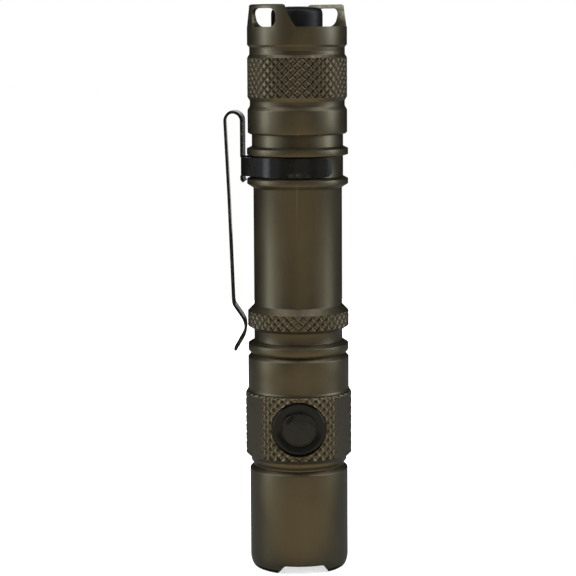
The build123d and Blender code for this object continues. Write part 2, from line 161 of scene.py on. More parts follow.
def knurl_band(bm, below, radius, z0, z1, half_groove, depth):
    """Knurled band on a lattice whose edges follow the grooves.

    radius is a number or a function of z. half_groove is a fraction of the spacing, depth is in
    millimetres. Returns the band's top ring.
    """
    rows, height = knurl_rows(z0, z1)

    def surface(angle, z):
        plain = radius(z) if callable(radius) else radius
        return plain - depth * knurl_groove(angle, z, z0, height, half_groove)

    rings = []
    for j in range(rows + 1):
        z = z0 + (z1 - z0) * j / rows
        rings.append(add_row(bm, surface, z, 0.5 if j % 2 else 0.0))
    join_rows(bm, below, rings[0])
    for k in range(STATIONS):
        bm.faces.new((rings[0][k - 1], rings[0][k], rings[1][k - 1]))
        bm.faces.new((rings[rows][k], rings[rows][k - 1], rings[rows - 1][k - 1]))
    for j in range(rows - 1):
        for k in range(STATIONS):
            right = (k + j % 2) % STATIONS
            bm.faces.new((rings[j][k], rings[j + 1][right], rings[j + 2][k], rings[j + 1][right - 1]))
    return rings[-1]


def thread_rows(bm, below, crest, z0, z1):
    """Helical thread between two heights, which runs out into its root at both ends."""
    rows = max(8, round((z1 - z0) * 8 / THREAD_PITCH))
    lead_in, lead_out, root, flank = 0.7, 0.4, 0.15, 0.6

    def surface(angle, z):
        turn = (z - z0) / THREAD_PITCH - angle / (2 * math.pi)
        off = abs(turn - round(turn)) * 2
        fade = min(1.0, (z - z0) / lead_in, (z1 - z) / lead_out)
        tooth = max(0.0, min(1.0, (off - root) / flank))
        return crest - THREAD_DEPTH * (1 - tooth * fade)

    last = below
    for j in range(rows + 1):
        ring = add_row(bm, surface, z0 + (z1 - z0) * j / rows)
        join_rows(bm, last, ring)
        last = ring
    return last


def finish_mesh(bm, name, material, sharp=32.0):
    """Writes a mesh in metres as an object, smooth but for its sharp edges."""
    bmesh.ops.remove_doubles(bm, verts=bm.verts, dist=0.002)
    bmesh.ops.recalc_face_normals(bm, faces=bm.faces)
    for face in bm.faces:
        face.smooth = True
    for edge in bm.edges:
        edge.smooth = len(edge.link_faces) != 2 or edge.calc_face_angle(0) < math.radians(sharp)
    bmesh.ops.scale(bm, vec=(MM, MM, MM), verts=bm.verts)
    mesh = bpy.data.meshes.new(name)
    bm.to_mesh(mesh)
    bm.free()
    mesh.materials.append(material)
    made = bpy.data.objects.new(name, mesh)
    bpy.context.scene.collection.objects.link(made)
    return made


def apply_modifiers(piece):
    """Leaves a piece with its modifiers' result as its mesh."""
    graph = bpy.context.evaluated_depsgraph_get()
    graph.update()
    mesh = bpy.data.meshes.new_from_object(piece.evaluated_get(graph))
    piece.modifiers.clear()
    piece.data = mesh
    return piece


def cut(piece, cutter):
    """Cuts a piece with a cutter, which is then removed."""
    modifier = piece.modifiers.new("cut", "BOOLEAN")
    modifier.operation = "DIFFERENCE"
    modifier.solver = "EXACT"
    modifier.object = cutter
    apply_modifiers(piece)
    bpy.data.objects.remove(cutter)
    return piece


def bevel(piece, width, segments=2, angle=35.0):
    """Rounds the edges sharper than an angle in degrees."""
    modifier = piece.modifiers.new("bevel", "BEVEL")
    modifier.width = width * MM
    modifier.segments = segments
    modifier.limit_method = "ANGLE"
    modifier.angle_limit = math.radians(angle)
    modifier.use_clamp_overlap = True
    modifier.miter_outer = "MITER_ARC"
    return apply_modifiers(piece)


def resharpen(piece, sharp=32.0):
    """Marks the sharp edges again after a boolean or a bevel, and the rims of large flat faces."""
    bm = bmesh.new()
    bm.from_mesh(piece.data)
    bmesh.ops.remove_doubles(bm, verts=bm.verts, dist=0.002 * MM)
    bmesh.ops.dissolve_degenerate(bm, edges=bm.edges, dist=0.001 * MM)
    for face in bm.faces:
        face.smooth = face.calc_area() < LARGE_FACE * MM**2
    for edge in bm.edges:
        gentle = len(edge.link_faces) != 2 or edge.calc_face_angle(0) < math.radians(sharp)
        edge.smooth = gentle and all(face.smooth for face in edge.link_faces)
    bm.to_mesh(piece.data)
    bm.free()
    return piece


def prism(name, outline, place, depth):
    """Closed prism from an outline of (x, y), laid in a 4x4 place and run along its z."""
    bm = bmesh.new()
    bottom = [bm.verts.new(place @ Vector((x, y, 0))) for x, y in outline]
    top = [bm.verts.new(place @ Vector((x, y, depth))) for x, y in outline]
    bm.faces.new(bottom)
    bm.faces.new(list(reversed(top)))
    for k in range(len(outline)):
        bm.faces.new((bottom[k - 1], bottom[k], top[k], top[k - 1]))
    bmesh.ops.recalc_face_normals(bm, faces=bm.faces)
    bmesh.ops.scale(bm, vec=(MM, MM, MM), verts=bm.verts)
    mesh = bpy.data.meshes.new(name)
    bm.to_mesh(mesh)
    bm.free()
    made = bpy.data.objects.new(name, mesh)
    bpy.context.scene.collection.objects.link(made)
    return made


def facing(angle, radius, z):
    """Place whose x runs round the body, y up it and z outwards, at an angle in degrees."""
    turn = math.radians(angle)
    out = polar(turn, 1, 0)
    side = polar(turn + math.pi / 2, 1, 0)
    spot = polar(turn, radius, z)
    return Matrix((
        (side.x, 0, out.x, spot.x),
        (side.y, 0, out.y, spot.y),
        (0, 1, 0, spot.z),
        (0, 0, 0, 1),
    ))


def arc(x, y, radius, start, end, steps):
    """Points on an arc, from one angle to another in degrees."""
    made = []
    for k in range(steps + 1):
        turn = math.radians(start + (end - start) * k / steps)
        made.append((x + radius * math.cos(turn), y + radius * math.sin(turn)))
    return made


def rounded_rectangle(width, height, radius):
    x, y = width / 2 - radius, height / 2 - radius
    steps = 6
    made = []
    for quarter, (cx, cy) in enumerate(((x, y), (-x, y), (-x, -y), (x, -y))):
        made += arc(cx, cy, radius, 90 * quarter, 90 * quarter + 90, steps)
    return made


def into_frame(piece, body, slot, *nodes):
    """The piece stands for its CAD nodes and rides on their body."""
    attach(piece, body)
    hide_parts(*nodes)
    return piece


# Material helpers

class Nodes:
    """A material with a Principled shader, and short calls for the nodes that feed it."""

    def __init__(self, name, **sockets):
        self.material = bpy.data.materials.new(name)
        self.material.use_nodes = True
        self.tree = self.material.node_tree
        self.shader = self.tree.nodes["Principled BSDF"]
        for socket, value in sockets.items():
            self.shader.inputs[socket.replace("_", " ")].default_value = value
        self.place = self.add("ShaderNodeTexCoord").outputs["Object"]

    def add(self, kind, **settings):
        node = self.tree.nodes.new(kind)
        for key, value in settings.items():
            setattr(node, key, value)
        return node

    def link(self, output, target):
        self.tree.links.new(output, target)

    def feed(self, socket, output):
        self.link(output, self.shader.inputs[socket])

    def stretched(self, scale):
        """Object coordinates scaled along each axis."""
        node = self.add("ShaderNodeMapping")
        node.inputs["Scale"].default_value = scale
        self.link(self.place, node.inputs["Vector"])
        return node.outputs["Vector"]

    def noise(self, scale, detail=3.0, rough=0.5, vector=None):
        node = self.add("ShaderNodeTexNoise")
        node.inputs["Scale"].default_value = scale
        node.inputs["Detail"].default_value = detail
        node.inputs["Roughness"].default_value = rough
        self.link(vector or self.place, node.inputs["Vector"])
        return node.outputs["Fac"]

    def spread(self, value, low_in, high_in, low_out, high_out):
        node = self.add("ShaderNodeMapRange")
        for key, number in zip(
            ("From Min", "From Max", "To Min", "To Max"), (low_in, high_in, low_out, high_out)
        ):
            node.inputs[key].default_value = number
        self.link(value, node.inputs["Value"])
        return node.outputs["Result"]

    def math(self, operation, a, b):
        node = self.add("ShaderNodeMath", operation=operation)
        for socket, value in zip(node.inputs, (a, b)):
            if isinstance(value, (int, float)):
                socket.default_value = value
            else:
                self.link(value, socket)
        return node.outputs["Value"]

    def mix(self, factor, first, second):
        """Colour mix. Each colour is an output or a tuple."""
        node = self.add("ShaderNodeMix", data_type="RGBA")
        self.link(factor, node.inputs["Factor"])
        for socket, value in ((node.inputs[6], first), (node.inputs[7], second)):
            if isinstance(value, tuple):
                socket.default_value = (*value, 1.0)
            else:
                self.link(value, socket)
        return node.outputs[2]

    def pointiness(self):
        """Half on a flat face, more on convex edges and less in grooves."""
        return self.add("ShaderNodeNewGeometry").outputs["Pointiness"]

    def edges(self, low_in=0.52, high_in=0.62):
        """Convex edges of the mesh, from 0 to 1."""
        return self.spread(self.pointiness(), low_in, high_in, 0.0, 1.0)

    def bump(self, height, distance, strength=1.0, before=None):
        node = self.add("ShaderNodeBump")
        node.inputs["Distance"].default_value = distance
        node.inputs["Strength"].default_value = strength
        self.link(height, node.inputs["Height"])
        if before:
            self.link(before, node.inputs["Normal"])
        return node.outputs["Normal"]


# Materials

def anodised(name, dark, light):
    """Matt anodised aluminium: turning lines, fine grain, slightly worn edges, and painted shade
    darkening the grooves.
    """
    m = Nodes(name, Metallic=0.92, Coat_Weight=0.3, Coat_Roughness=0.35)
    cloud = m.noise(90.0, 3.0, 0.6)
    grain = m.noise(9000.0, 2.0, 0.7)
    lines = m.noise(1.0, 4.0, 0.7, m.stretched((60.0, 60.0, 14000.0)))
    scratch = m.noise(1.0, 2.0, 0.4, m.stretched((1500.0, 1500.0, 90.0)))
    colour = m.mix(m.spread(cloud, 0.35, 0.7, 0.0, 1.0), dark, light)
    speck = m.mix(m.spread(grain, 0.3, 0.75, 0.0, 0.35), colour, tuple(c * 1.25 for c in light))
    worn = m.math("MULTIPLY", m.edges(), m.spread(m.noise(700.0), 0.4, 0.7, 0.2, 0.8))
    # Painted shade: where the mesh is concave (knurl and thread grooves), the colour is pulled towards
    # a near-black copy of the dark tone, standing in for the shade that falls there.
    groove_shade_mask = m.spread(m.pointiness(), 0.42, 0.497, 0.95, 0.0)
    shade_painted_colour = m.mix(groove_shade_mask, speck, tuple(c * 0.12 for c in dark))
    m.feed("Base Color", m.mix(worn, shade_painted_colour, tuple(c * 1.9 for c in light)))
    rough = m.math("ADD", m.spread(cloud, 0.3, 0.7, 0.40, 0.47),
                   m.spread(scratch, 0.55, 0.75, 0.0, 0.05))
    m.feed("Roughness", m.math("SUBTRACT", rough, m.math("MULTIPLY", worn, 0.1)))
    fine = m.bump(lines, 0.000004, 0.55)
    m.feed("Normal", m.bump(grain, 0.000006, 0.5, fine))
    return m.material


def black_steel():
    """Glossy black finish on spring steel."""
    m = Nodes("black_steel_finish", Metallic=0.0, Specular_IOR_Level=0.14)
    cloud = m.noise(250.0, 3.0)
    brushed = m.noise(1.0, 3.0, 0.6, m.stretched((2500.0, 2500.0, 250.0)))
    worn = m.math("MULTIPLY", m.edges(0.56, 0.72), m.spread(m.noise(900.0), 0.5, 0.75, 0.0, 0.4))
    colour = m.mix(cloud, (0.002, 0.002, 0.002), (0.006, 0.006, 0.005))
    m.feed("Base Color", m.mix(worn, colour, (0.05, 0.049, 0.045)))
    m.feed("Roughness", m.spread(brushed, 0.3, 0.7, 0.16, 0.26))
    m.feed("Normal", m.bump(brushed, 0.000004, 0.4))
    return m.material


def button_black():
    """Polished black plastic with faint moulding marks."""
    m = Nodes("button_black_finish", Metallic=0.0, Specular_IOR_Level=0.2)
    cloud = m.noise(600.0, 4.0, 0.6)
    fine = m.noise(5200.0, 2.0)
    m.feed("Base Color", m.mix(cloud, (0.003, 0.003, 0.003), (0.007, 0.007, 0.006)))
    m.feed("Roughness", m.spread(fine, 0.3, 0.7, 0.06, 0.11))
    m.feed("Normal", m.bump(cloud, 0.000008, 0.4))
    return m.material


def rubber():
    """Black silicone with a fine grain and a little dust."""
    m = Nodes("rubber_black_finish", Metallic=0.0, Specular_IOR_Level=0.22)
    grain = m.noise(6500.0, 3.0, 0.6)
    dust = m.noise(420.0, 5.0, 0.7)
    dusty = m.spread(dust, 0.5, 0.85, 0.0, 0.5)
    m.feed("Base Color", m.mix(dusty, (0.003, 0.003, 0.003), (0.012, 0.012, 0.011)))
    m.feed("Roughness", m.spread(grain, 0.3, 0.7, 0.38, 0.55))
    m.feed("Normal", m.bump(grain, 0.000012, 0.6))
    return m.material


def glass():
    """Coated lens glass with a faint bloom."""
    m = Nodes(
        "lens_glass_finish",
        Transmission_Weight=1.0,
        IOR=1.5,
        Coat_Weight=0.3,
        Coat_Roughness=0.02,
    )
    smear = m.noise(160.0, 4.0, 0.6)
    m.feed("Base Color", m.mix(smear, (0.93, 0.97, 0.98), (0.98, 0.97, 0.99)))
    m.feed("Roughness", m.spread(smear, 0.4, 0.8, 0.0, 0.03))
    m.feed("Normal", m.bump(smear, 0.000002, 0.3))
    return m.material


def mirror():
    """Bright reflector with a slight orange peel."""
    m = Nodes("mirror_finish", Metallic=1.0)
    peel = m.noise(1500.0, 2.0, 0.4)
    haze = m.noise(300.0, 3.0)
    m.feed("Base Color", m.mix(haze, (0.84, 0.85, 0.87), (0.93, 0.93, 0.94)))
    m.feed("Roughness", m.spread(haze, 0.3, 0.8, 0.04, 0.12))
    m.feed("Normal", m.bump(peel, 0.00001, 0.5))
    return m.material


def machined(name, dark, light):
    """Bare metal with turning marks and some tarnish."""
    m = Nodes(name, Metallic=1.0)
    lines = m.noise(1.0, 4.0, 0.7, m.stretched((200.0, 200.0, 9000.0)))
    tarnish = m.noise(500.0, 5.0, 0.65)
    m.feed("Base Color", m.mix(m.spread(tarnish, 0.35, 0.7, 0.0, 1.0), dark, light))
    m.feed("Roughness", m.spread(tarnish, 0.3, 0.7, 0.44, 0.32))
    m.feed("Normal", m.bump(lines, 0.000008, 0.6))
    return m.material


def moulded(name, dark, light, rough=0.5):
    """Moulded plastic or film with a fine surface."""
    m = Nodes(name, Metallic=0.0)
    cloud = m.noise(350.0, 4.0, 0.6)
    fine = m.noise(3500.0, 3.0, 0.6)
    m.feed("Base Color", m.mix(cloud, dark, light))
    m.feed("Roughness", m.spread(fine, 0.3, 0.7, rough - 0.08, rough + 0.08))
    m.feed("Normal", m.bump(fine, 0.000012, 0.5))
    return m.material


def phosphor():
    """Yellow emitter under a clear dome."""
    m = Nodes("led_phosphor_finish", Coat_Weight=1.0, Coat_Roughness=0.05)
    grain = m.noise(7000.0, 3.0, 0.7)
    m.feed("Base Color", m.mix(grain, (0.75, 0.55, 0.09), (0.92, 0.78, 0.22)))
    m.feed("Roughness", m.spread(grain, 0.3, 0.7, 0.35, 0.55))
    m.feed("Normal", m.bump(grain, 0.00001, 0.6))
    return m.material


def circuit():
    """Green solder mask with copper tracks showing through it."""
    m = Nodes("circuit_board_finish", Coat_Weight=0.4, Coat_Roughness=0.2)
    weave = m.noise(2600.0, 2.0)
    tracks = m.add("ShaderNodeTexVoronoi", feature="DISTANCE_TO_EDGE")
    tracks.inputs["Scale"].default_value = 700.0
    m.link(m.place, tracks.inputs["Vector"])
    lines = m.spread(tracks.outputs["Distance"], 0.03, 0.06, 1.0, 0.0)
    mask = m.mix(weave, (0.012, 0.10, 0.035), (0.02, 0.15, 0.055))
    m.feed("Base Color", m.mix(lines, mask, (0.05, 0.25, 0.09)))
    m.feed("Roughness", m.spread(weave, 0.3, 0.7, 0.3, 0.45))
    m.feed("Normal", m.bump(lines, 0.00003, 0.6))
    return m.material


METAL_TONES = {
    "stainless": ((0.45, 0.44, 0.42), (0.62, 0.61, 0.6)),
    "brass_ring": ((0.62, 0.42, 0.16), (0.8, 0.62, 0.3)),
}

# Dark tone, light tone and roughness
MOULDED_TONES = {
    "white_nylon": ((0.74, 0.74, 0.70), (0.84, 0.84, 0.81), 0.5),
    "light_engine_plate": ((0.62, 0.62, 0.6), (0.75, 0.75, 0.73), 0.4),
    "wire_red": ((0.5, 0.03, 0.02), (0.62, 0.05, 0.04), 0.5),
    "wire_black": ((0.02, 0.02, 0.02), (0.035, 0.035, 0.035), 0.5),
    "black_plastic": ((0.02, 0.02, 0.021), (0.04, 0.04, 0.042), 0.5),
    "plunger_white": ((0.66, 0.66, 0.63), (0.76, 0.76, 0.73), 0.5),
    "cell_core": ((0.1, 0.1, 0.11), (0.16, 0.16, 0.17), 0.5),
    "cell_wrap": ((0.012, 0.02, 0.05), (0.02, 0.03, 0.075), 0.3),
    "insulator_paper": ((0.55, 0.5, 0.4), (0.68, 0.62, 0.5), 0.8),
}

FINISHES = {
    "anodised_body": anodised("anodised_body_finish", (0.066, 0.053, 0.031), (0.080, 0.065, 0.039)),
    "black_steel": black_steel(),
    "button_black": button_black(),
    "lens_glass": glass(),
    "mirror_aluminium": mirror(),
    "rubber_black": rubber(),
    "led_phosphor": phosphor(),
    "circuit_board": circuit(),
}
for slot_name, tones in METAL_TONES.items():
    FINISHES[slot_name] = machined(slot_name + "_finish", *tones)
for slot_name, tones in MOULDED_TONES.items():
    FINISHES[slot_name] = moulded(slot_name + "_finish", *tones)


def dress_cad_nodes():
    """Each CAD node gets the procedural finish of its own material slot."""
    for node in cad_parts.values():
        for place in node.material_slots:
            slot = place.material.name.split(".")[0]
            place.material = FINISHES[slot]


# Pieces

def bezel():
    """Plain barrel with a rounded nose and three crown notches."""
    top = high("bezel").z
    nose_r, nose_z, lip_r, lip_z, bore_r = 11.3, 3.2, 10.35, 2.9, 11.3
    shell = [(lip_r, lip_z), (lip_r, 0.25), (lip_r + 0.25, 0.0), (nose_r - 0.15, 0.0)]
    steps = 8
    for k in range(steps + 1):
        t = k / steps
        r = nose_r + (BARREL_R - nose_r) * math.sin(t * math.pi / 2)
        shell.append((r, nose_z * (1 - math.cos(t * math.pi / 2))))
    chamfer = 0.85
    shell += [(BARREL_R, 14.0), (BARREL_R, top - chamfer), (BARREL_R - chamfer, top), (bore_r, top),
              (bore_r, lip_z)]
    bm = bmesh.new()
    first, last = turned(bm, eased(shell), count=STATIONS // 2)
    join_rows(bm, last, first)
    piece = finish_mesh(bm, "bezel_shell", FINISHES["anodised_body"])
    depth, tip, root, inset, fillet = 2.35, 6.7, 5.0, 0.45, 0.9
    slope = (tip - root) / depth
    outline = [(-tip - slope, -1.0), (tip + slope, -1.0)]
    outline += arc(root - inset, depth - fillet, fillet, 30, 90, 5)
    outline += arc(-root + inset, depth - fillet, fillet, 90, 150, 5)
    for turn in (0, 120, 240):
        cut(piece, prism("notch", outline, facing(NOTCH_ANGLE + turn, 6, 0), 12))
    bevel(piece, 0.16)
    resharpen(piece)
    return into_frame(piece, "head", "anodised_body", "bezel")


def head_body():
    """Head with a knurled section, four milled flats and the button's pocket."""
    section_r, head_r = 13.72, 13.0
    foot_z, shoulder_z, top_z, crest_z = 30.1, 45.83, 46.35, high("head_body").z
    spigot_r = 11.25
    bm = bmesh.new()
    bore = [(10.3, 23.2), (10.3, 16.0), (spigot_r - 0.5, 16.0), (spigot_r - 0.55, 16.5)]
    first, row = turned(bm, bore)
    row = thread_rows(bm, row, spigot_r, 16.5, 24.9)
    neck = [(10.55, 24.9), (10.55, 26.2), (spigot_r, 26.2), (spigot_r, 26.8), (11.65, 26.8),
            (11.65, 27.3), (12.4, 28.2), (12.4, 29.0), (section_r - 0.05, foot_z - 0.04)]
    row = turned(bm, eased(neck, 0.08), row)[1]

    def shouldered(z):
        """The knurl runs on up the shoulder."""
        return section_r - 0.78 * max(0.0, z - shoulder_z)

    row = knurl_band(bm, row, shouldered, foot_z, top_z, 0.36, 0.36)
    cap = [(head_r - 0.02, top_z + 0.03), (head_r - 0.02, top_z + 0.14), (head_r + 0.24, top_z + 0.2),
           (head_r, 47.0), (head_r, 50.9), (head_r, 55.2), (12.1, crest_z),
           (11.36, crest_z), (11.36, 53.5), (11.1, 53.5), (11.1, 46.0), (10.0, 46.0), (10.0, 44.8),
           (10.0, 44.0), (3.0, 44.0)]
    row = turned(bm, eased(cap, 0.1), row)[1]
    bm.faces.new(row)
    bm.faces.new(list(reversed(first)))
    piece = finish_mesh(bm, "head_shell", FINISHES["anodised_body"])
    low_z, high_z, half = 28.6, 45.6, 6
    panel = [(-half, low_z), (half, low_z), (half, high_z), (-half, high_z)]
    for side in (FLAT_ANGLE, 180 - FLAT_ANGLE, 180 + FLAT_ANGLE, -FLAT_ANGLE):
        cut(piece, prism("flat", panel, facing(side, FLAT_R, 0), 2))
    pocket_r, pocket_y, sides = 7.1, 10.9, 64
    circle = arc(0, 0, pocket_r, 0, 360 * (sides - 1) / sides, sides - 1)
    cut(piece, prism("pocket", circle, facing(0, pocket_y, BUTTON_Z), 6))
    resharpen(piece)
    return into_frame(piece, "head", "anodised_body", "head_body")


def battery_tube():
    """Tube with three ribs, a narrow knurled ring, the clip's groove and a thread at each end."""
    z0, z1 = low("battery_tube").z, high("battery_tube").z
    bore, crest, rib, tube_r, neck_r = 9.6, 11.05, 12.93, 11.34, 11.66
    bm = bmesh.new()
    first, row = turned(bm, [(bore, z0 + 0.3), (bore + 0.2, z0), (crest - 0.6, z0)])
    row = thread_rows(bm, row, crest, z0 + 0.4, 53.6)
    lower = [(10.15, 53.6), (10.15, 55.0), (11.3, 55.0), (11.3, 56.2), (12.24, 56.2), (rib, 57.0),
             (rib, 58.7), (11.4, 59.6), (11.4, 62.4), (12.98, 63.35)]
    row = turned(bm, eased(lower, 0.1), row)[1]
    row = knurl_band(bm, row, 13.0, 63.4, 67.1, 0.2, 0.3)
    upper = [(12.95, 67.15), (tube_r, 68.8), (tube_r, 83.0), (tube_r, 98.9), (rib, 99.9), (rib, 101.2),
             (11.65, 101.85), (11.65, 107.0), (rib, 107.35), (rib, 108.9), (neck_r, 109.5),
             (neck_r, 113.3), (10.55, 113.3), (10.55, 114.7), (neck_r, 114.7), (neck_r, 115.2)]
    row = turned(bm, eased(upper, 0.1), row)[1]
    row = thread_rows(bm, row, crest, 115.2, z1 - 0.4)
    row = turned(bm, [(crest - 0.6, z1), (bore + 0.2, z1), (bore, z1 - 0.3)], row)[1]
    join_rows(bm, row, first)
    piece = finish_mesh(bm, "tube_shell", FINISHES["anodised_body"])
    return into_frame(piece, "tube", "anodised_body", "battery_tube")


def gap_side():
    """One side of the thumb gap as (x, z): a parabola through its foot, waist and top."""
    foot, waist, top = 9.6, 10.55, 11.15
    height = TAIL_TOP - FLOOR_Z
    middle = 2.4 / height
    steps = 8
    side = []
    for k in range(steps + 1):
        t = k / steps
        from_foot = foot * (t - middle) * (t - 1) / middle
        from_waist = waist * t * (t - 1) / (middle * (middle - 1))
        from_top = top * t * (t - middle) / (1 - middle)
        side.append((from_foot + from_waist + from_top, height * t))
    return side + [(top, height + 2)]


def tail_crown():
    """Top of the tail cap: two lugs with lanyard slots, left by one cut across."""
    r, groove_r = BARREL_R, 12.15
    shell = [(10.3, CROWN_Z), (groove_r, CROWN_Z), (groove_r, 134.5), (r, 135.1), (r, 137.4),
             (r, TAIL_TOP - 0.3), (r - 0.3, TAIL_TOP), (8.9, TAIL_TOP), (8.9, FLOOR_Z),
             (6.7, FLOOR_Z), (6.7, FLOOR_Z - 3.0), (10.3, FLOOR_Z - 3.0)]
    bm = bmesh.new()
    first, last = turned(bm, shell, count=STATIONS // 2)
    join_rows(bm, last, first)
    piece = finish_mesh(bm, "tail_crown", FINISHES["anodised_body"])
    outline = gap_side()
    outline += [(-x, y) for x, y in reversed(outline)]
    reach = 16
    cut(piece, prism("gap", outline, facing(LUG_ANGLE + 90, -reach, FLOOR_Z), 2 * reach))
    width, height, corner = 8.1, 4.6, 1.7
    slot = rounded_rectangle(width, height, corner)
    cut(piece, prism("slot", slot, facing(SLOT_ANGLE, -reach, FLOOR_Z + height / 2), 2 * reach))
    bevel(piece, 0.4, 4)
    return resharpen(piece)


def tail_cap():
    """Knurled tail cap with its crown."""
    r = BARREL_R
    skirt = low("tail_cap").z
    bm = bmesh.new()
    outside = [(11.1, 123.4), (11.1, 115.4), (11.76, 115.4), (11.76, skirt), (12.3, skirt), (r, 113.0),
               (r, 115.9), (r, 118.7), (12.1, 119.7), (12.1, 121.0), (r - 0.02, 121.95)]
    first, row = turned(bm, eased(outside, 0.12))
    row = knurl_band(bm, row, r, 122.0, 131.85, 0.2, 0.34)
    inside = [(r - 0.05, 131.9), (12.15, 132.7), (12.15, CROWN_Z), (10.3, CROWN_Z), (10.3, 123.4)]
    row = turned(bm, eased(inside, 0.1), row)[1]
    join_rows(bm, row, first)
    piece = finish_mesh(bm, "tail_shell", FINISHES["anodised_body"])
    crown = tail_crown()
    with bpy.context.temp_override(active_object=piece, selected_editable_objects=[piece, crown]):
        bpy.ops.object.join()
    return into_frame(piece, "tail", "anodised_body", "tail_cap")


def tail_boot():
    """Rubber boot that bulges between the lugs, with a rolled edge and a shallow dome."""
    base, top = low("tail_boot").z, high("tail_boot").z
    flange_top = base + 1.2
    wall, flange_r = 6.55, 9.6
    outline = [(AXIS_R, base), (flange_r, base), (flange_r, flange_top), (wall, flange_top),
               (wall, top - 1.7), (wall - 0.2, top - 0.95), (wall - 0.75, top - 0.45),
               (wall - 2.0, top - 0.2), (2.4, top - 0.04), (AXIS_R, top)]
    bm = bmesh.new()
    turned(bm, eased(outline, 0.35, 4), count=96)
    piece = finish_mesh(bm, "boot_skin", FINISHES["rubber_black"], 60.0)
    into_frame(piece, "tail", "rubber_black", "tail_boot")
    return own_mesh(piece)


def button_piece(name, outline, slot, body, node):
    """Piece turned about the button's axis from an outline of (radius, distance from the body)."""
    bm = bmesh.new()
    first, last = turned(bm, eased(outline, 0.1, 3), count=96)
    if outline[0][0] != AXIS_R:
        join_rows(bm, last, first)
    turn = Matrix.Translation((0, 0, BUTTON_Z)) @ Matrix.Rotation(math.pi / 2, 4, "X")
    bmesh.ops.transform(bm, matrix=turn, verts=bm.verts)
    piece = finish_mesh(bm, name, FINISHES[slot])
    return into_frame(piece, body, slot, node)


def side_button_cap():
    """Glossy dome with a rolled edge, over the flange and stem that the ring hides."""
    rim_r, flange_r, stem_r = 4.25, 5.1, 1.6
    front, back = -low("side_button_cap").y, -high("side_button_cap").y
    rim = front - 0.3
    outline = [(AXIS_R, front), (1.5, front - 0.03), (2.9, front - 0.12), (rim_r - 0.35, rim + 0.02),
               (rim_r - 0.08, rim - 0.16), (rim_r, rim - 0.4), (rim_r, 11.85), (flange_r, 11.85),
               (flange_r, 11.5), (stem_r, 11.5), (stem_r, back), (AXIS_R, back)]
    return button_piece("button_dome", outline, "button_black", "side_button", "side_button_cap")


def side_button_ring():
    """Collar round the button: a flat land, then a bevel that runs down to the hole."""
    outer, hole = 6.75, 4.75
    face, back = -low("side_button_ring").y, -high("side_button_ring").y
    outline = [(hole, face - 0.5), (hole, face - 0.45), (6.0, face), (outer - 0.25, face),
               (outer, face - 0.25), (outer, back), (5.4, back), (5.4, face - 0.5)]
    return button_piece("button_collar", outline, "black_steel", "head", "side_button_ring")


def clip_path():
    """Middle line of the clip's strip as (x, z), with rounded bends."""
    corners = [(-13.55, 100.4), (CLIP_PLATE_X, 101.1), (CLIP_PLATE_X, 118.15), (-18.65, 118.15),
               (-17.65, 96.0), (-16.72, 69.05), (-12.69, 63.2), (-16.4, 56.8)]
    radii = [0.4, 2.25, 2.2, 60.0, 2.5, 4.95]
    points = [Vector(corners[0])]
    for before, corner, after, radius in zip(corners, corners[1:], corners[2:], radii):
        p = Vector(corner)
        u, v = (Vector(before) - p).normalized(), (Vector(after) - p).normalized()
        half = u.angle(v) / 2
        reach = radius / math.tan(half)
        centre = p + (u + v).normalized() * radius / math.sin(half)
        start, end = p + u * reach - centre, p + v * reach - centre
        sweep = start.angle(end)
        steps = max(2, round(math.degrees(sweep) / 9))
        for k in range(steps + 1):
            t = k / steps
            part = start * math.sin((1 - t) * sweep) + end * math.sin(t * sweep)
            points.append(centre + part / math.sin(sweep))
    points.append(Vector(corners[-1]))
    return points


def rounded_lead(start, corner, touch):
    """Points of a smooth corner from the strip's flat to where the ring begins."""
    line = []
    past = corner.lerp(touch, 0.4)
    for k in range(1, 7):
        t = k / 7
        line.append(start * (1 - t) ** 2 + corner * 2 * t * (1 - t) + past * t * t)
    return line + [past, corner.lerp(touch, 0.7)]


def strip_stations(levels):
    """Points along the strip, close enough for its bends and with one at each of the band's levels."""
    path = clip_path()
    stations = []
    for a, b in zip(path, path[1:]):
        stations.append(a)
        if a.y < levels[0] and b.y > levels[-1] and abs(a.x - b.x) < 0.01:
            stations += [Vector((a.x, z)) for z in levels]
        else:
            steps = int((b - a).length / 2.5)
            stations += [a.lerp(b, k / steps) for k in range(1, steps)]
    return stations + [path[-1]]


def strip_rows(bm, points):
    """Vertices across the strip at each of its points."""
    crest = max(range(len(points)), key=lambda k: points[k].y)
    turn = math.radians(CLIP_TURN)
    rows = []
    for k, point in enumerate(points):
        middle = Matrix.Rotation(turn, 3, "Z") @ Vector((point.x, 0, point.y))
        # The strip untwists over its top bend, so the leg lies square to the front.
        twist = turn * max(0.0, min(1.0, 1 - (k - crest) / 6))
        width = STRIP_HALF * (0.8 if k in (0, len(points) - 1) else 1.0)
        across = Vector((-math.sin(twist), math.cos(twist), 0)) * width
        rows.append([bm.verts.new(middle + across * a) for a in (-1, -0.86, -0.5, 0, 0.5, 0.86, 1)])
    return rows


def ring_line():
    """Half of the C ring as points in plan: a rounded lead from the strip, then the hoop."""
    corner_y, steps = 3.7, 26
    reach = math.hypot(CLIP_PLATE_X, corner_y)
    start = math.atan2(corner_y, -CLIP_PLATE_X) + math.acos(CLIP_RING_R / reach)
    end = math.radians(CLIP_RING_END)
    corner = Vector((CLIP_PLATE_X, corner_y, 0))
    touch = Vector((-CLIP_RING_R * math.cos(start), CLIP_RING_R * math.sin(start), 0))
    line = rounded_lead(Vector((CLIP_PLATE_X, STRIP_HALF * 0.5, 0)), corner, touch)
    for k in range(steps + 1):
        a = start + (end - start) * k / steps
        line.append(Vector((-CLIP_RING_R * math.cos(a), CLIP_RING_R * math.sin(a), 0)))
    return line


